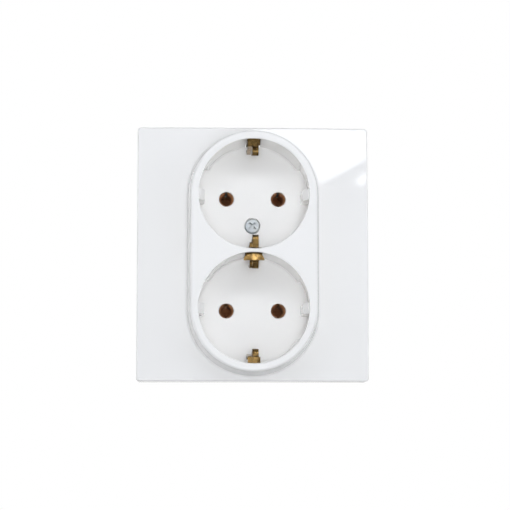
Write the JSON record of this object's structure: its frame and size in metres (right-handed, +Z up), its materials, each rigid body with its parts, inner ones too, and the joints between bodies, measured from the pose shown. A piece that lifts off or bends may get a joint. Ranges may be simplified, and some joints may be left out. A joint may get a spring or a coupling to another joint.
{
  "type": "double wall socket",
  "caption": "Flush wall socket: square white cover with an oblong raised face, round recessed outlets and brass earth clips, on a steel strap whose claws spread to grip a wall box.",
  "frame": {"origin": "midway between the box screws, on the wall plane, behind the centre of the plate", "axes": "+Z up, +Y into the wall, +X to the right of a person who faces the socket"},
  "size_m": [0.0842, 0.0523, 0.0928],
  "materials": {
    "white_gloss_plastic": "polished moulding",
    "insulating_plastic": "fine spark-eroded moulding",
    "zinc_plated_steel": "bright zinc plating",
    "spring_brass": "rolled strip",
    "hardened_steel": "zinc plated, stamped"
  },
  "bodies": {
    "socket": {"cover": "white_gloss_plastic", "cover_screw": "zinc_plated_steel", "support_strap": "zinc_plated_steel", "contact_carrier": "insulating_plastic", "strap_rivets": "zinc_plated_steel", "earth_strip": "spring_brass", "earth_rivets": "zinc_plated_steel", "middle_earth_clip": "spring_brass", "earth_terminal_bracket": "spring_brass", "left_contact_rail": "spring_brass", "right_contact_rail": "spring_brass", "left_clamp_plate": "zinc_plated_steel", "right_clamp_plate": "zinc_plated_steel", "earth_clamp_plate": "zinc_plated_steel", "left_terminal_screw": "zinc_plated_steel", "right_terminal_screw": "zinc_plated_steel", "earth_terminal_screw": "zinc_plated_steel"},
    "left_claw_screw": {"left_claw_screw": "zinc_plated_steel"},
    "left_claw_nut": {"left_claw_nut": "zinc_plated_steel"},
    "left_claw": {"left_claw": "hardened_steel"},
    "right_claw_screw": {"right_claw_screw": "zinc_plated_steel"},
    "right_claw_nut": {"right_claw_nut": "zinc_plated_steel"},
    "right_claw": {"right_claw": "hardened_steel"}
  },
  "joints": [
    {"name": "left_claw_nut_travel", "type": "slide", "parent": "socket", "child": "left_claw_nut", "axis": [0, -1, 0], "range_m": [0, 0.008]},
    {"name": "left_claw_screw_turn", "type": "hinge", "parent": "socket", "child": "left_claw_screw", "pos_m": [-0.0218, 0, 0], "axis": [0, 1, 0], "range_deg": [0, 5762]},
    {"name": "left_claw_spread", "type": "slide", "parent": "socket", "child": "left_claw", "axis": [-0.309, -0.9511, 0], "range_m": [0, 0.00842]},
    {"name": "right_claw_nut_travel", "type": "slide", "parent": "socket", "child": "right_claw_nut", "axis": [0, -1, 0], "range_m": [0, 0.008]},
    {"name": "right_claw_screw_turn", "type": "hinge", "parent": "socket", "child": "right_claw_screw", "pos_m": [0.0218, 0, 0], "axis": [0, 1, 0], "range_deg": [0, 5762]},
    {"name": "right_claw_spread", "type": "slide", "parent": "socket", "child": "right_claw", "axis": [0.309, -0.9511, 0], "range_m": [0, 0.00842]}
  ],
  "couplings": [
    {"joint": "left_claw_screw_turn", "follows": "left_claw_nut_travel", "rad_per_m": 12566},
    {"joint": "left_claw_spread", "follows": "left_claw_nut_travel", "ratio": 1.0515},
    {"joint": "right_claw_screw_turn", "follows": "right_claw_nut_travel", "rad_per_m": 12566},
    {"joint": "right_claw_spread", "follows": "right_claw_nut_travel", "ratio": 1.0515}
  ]
}
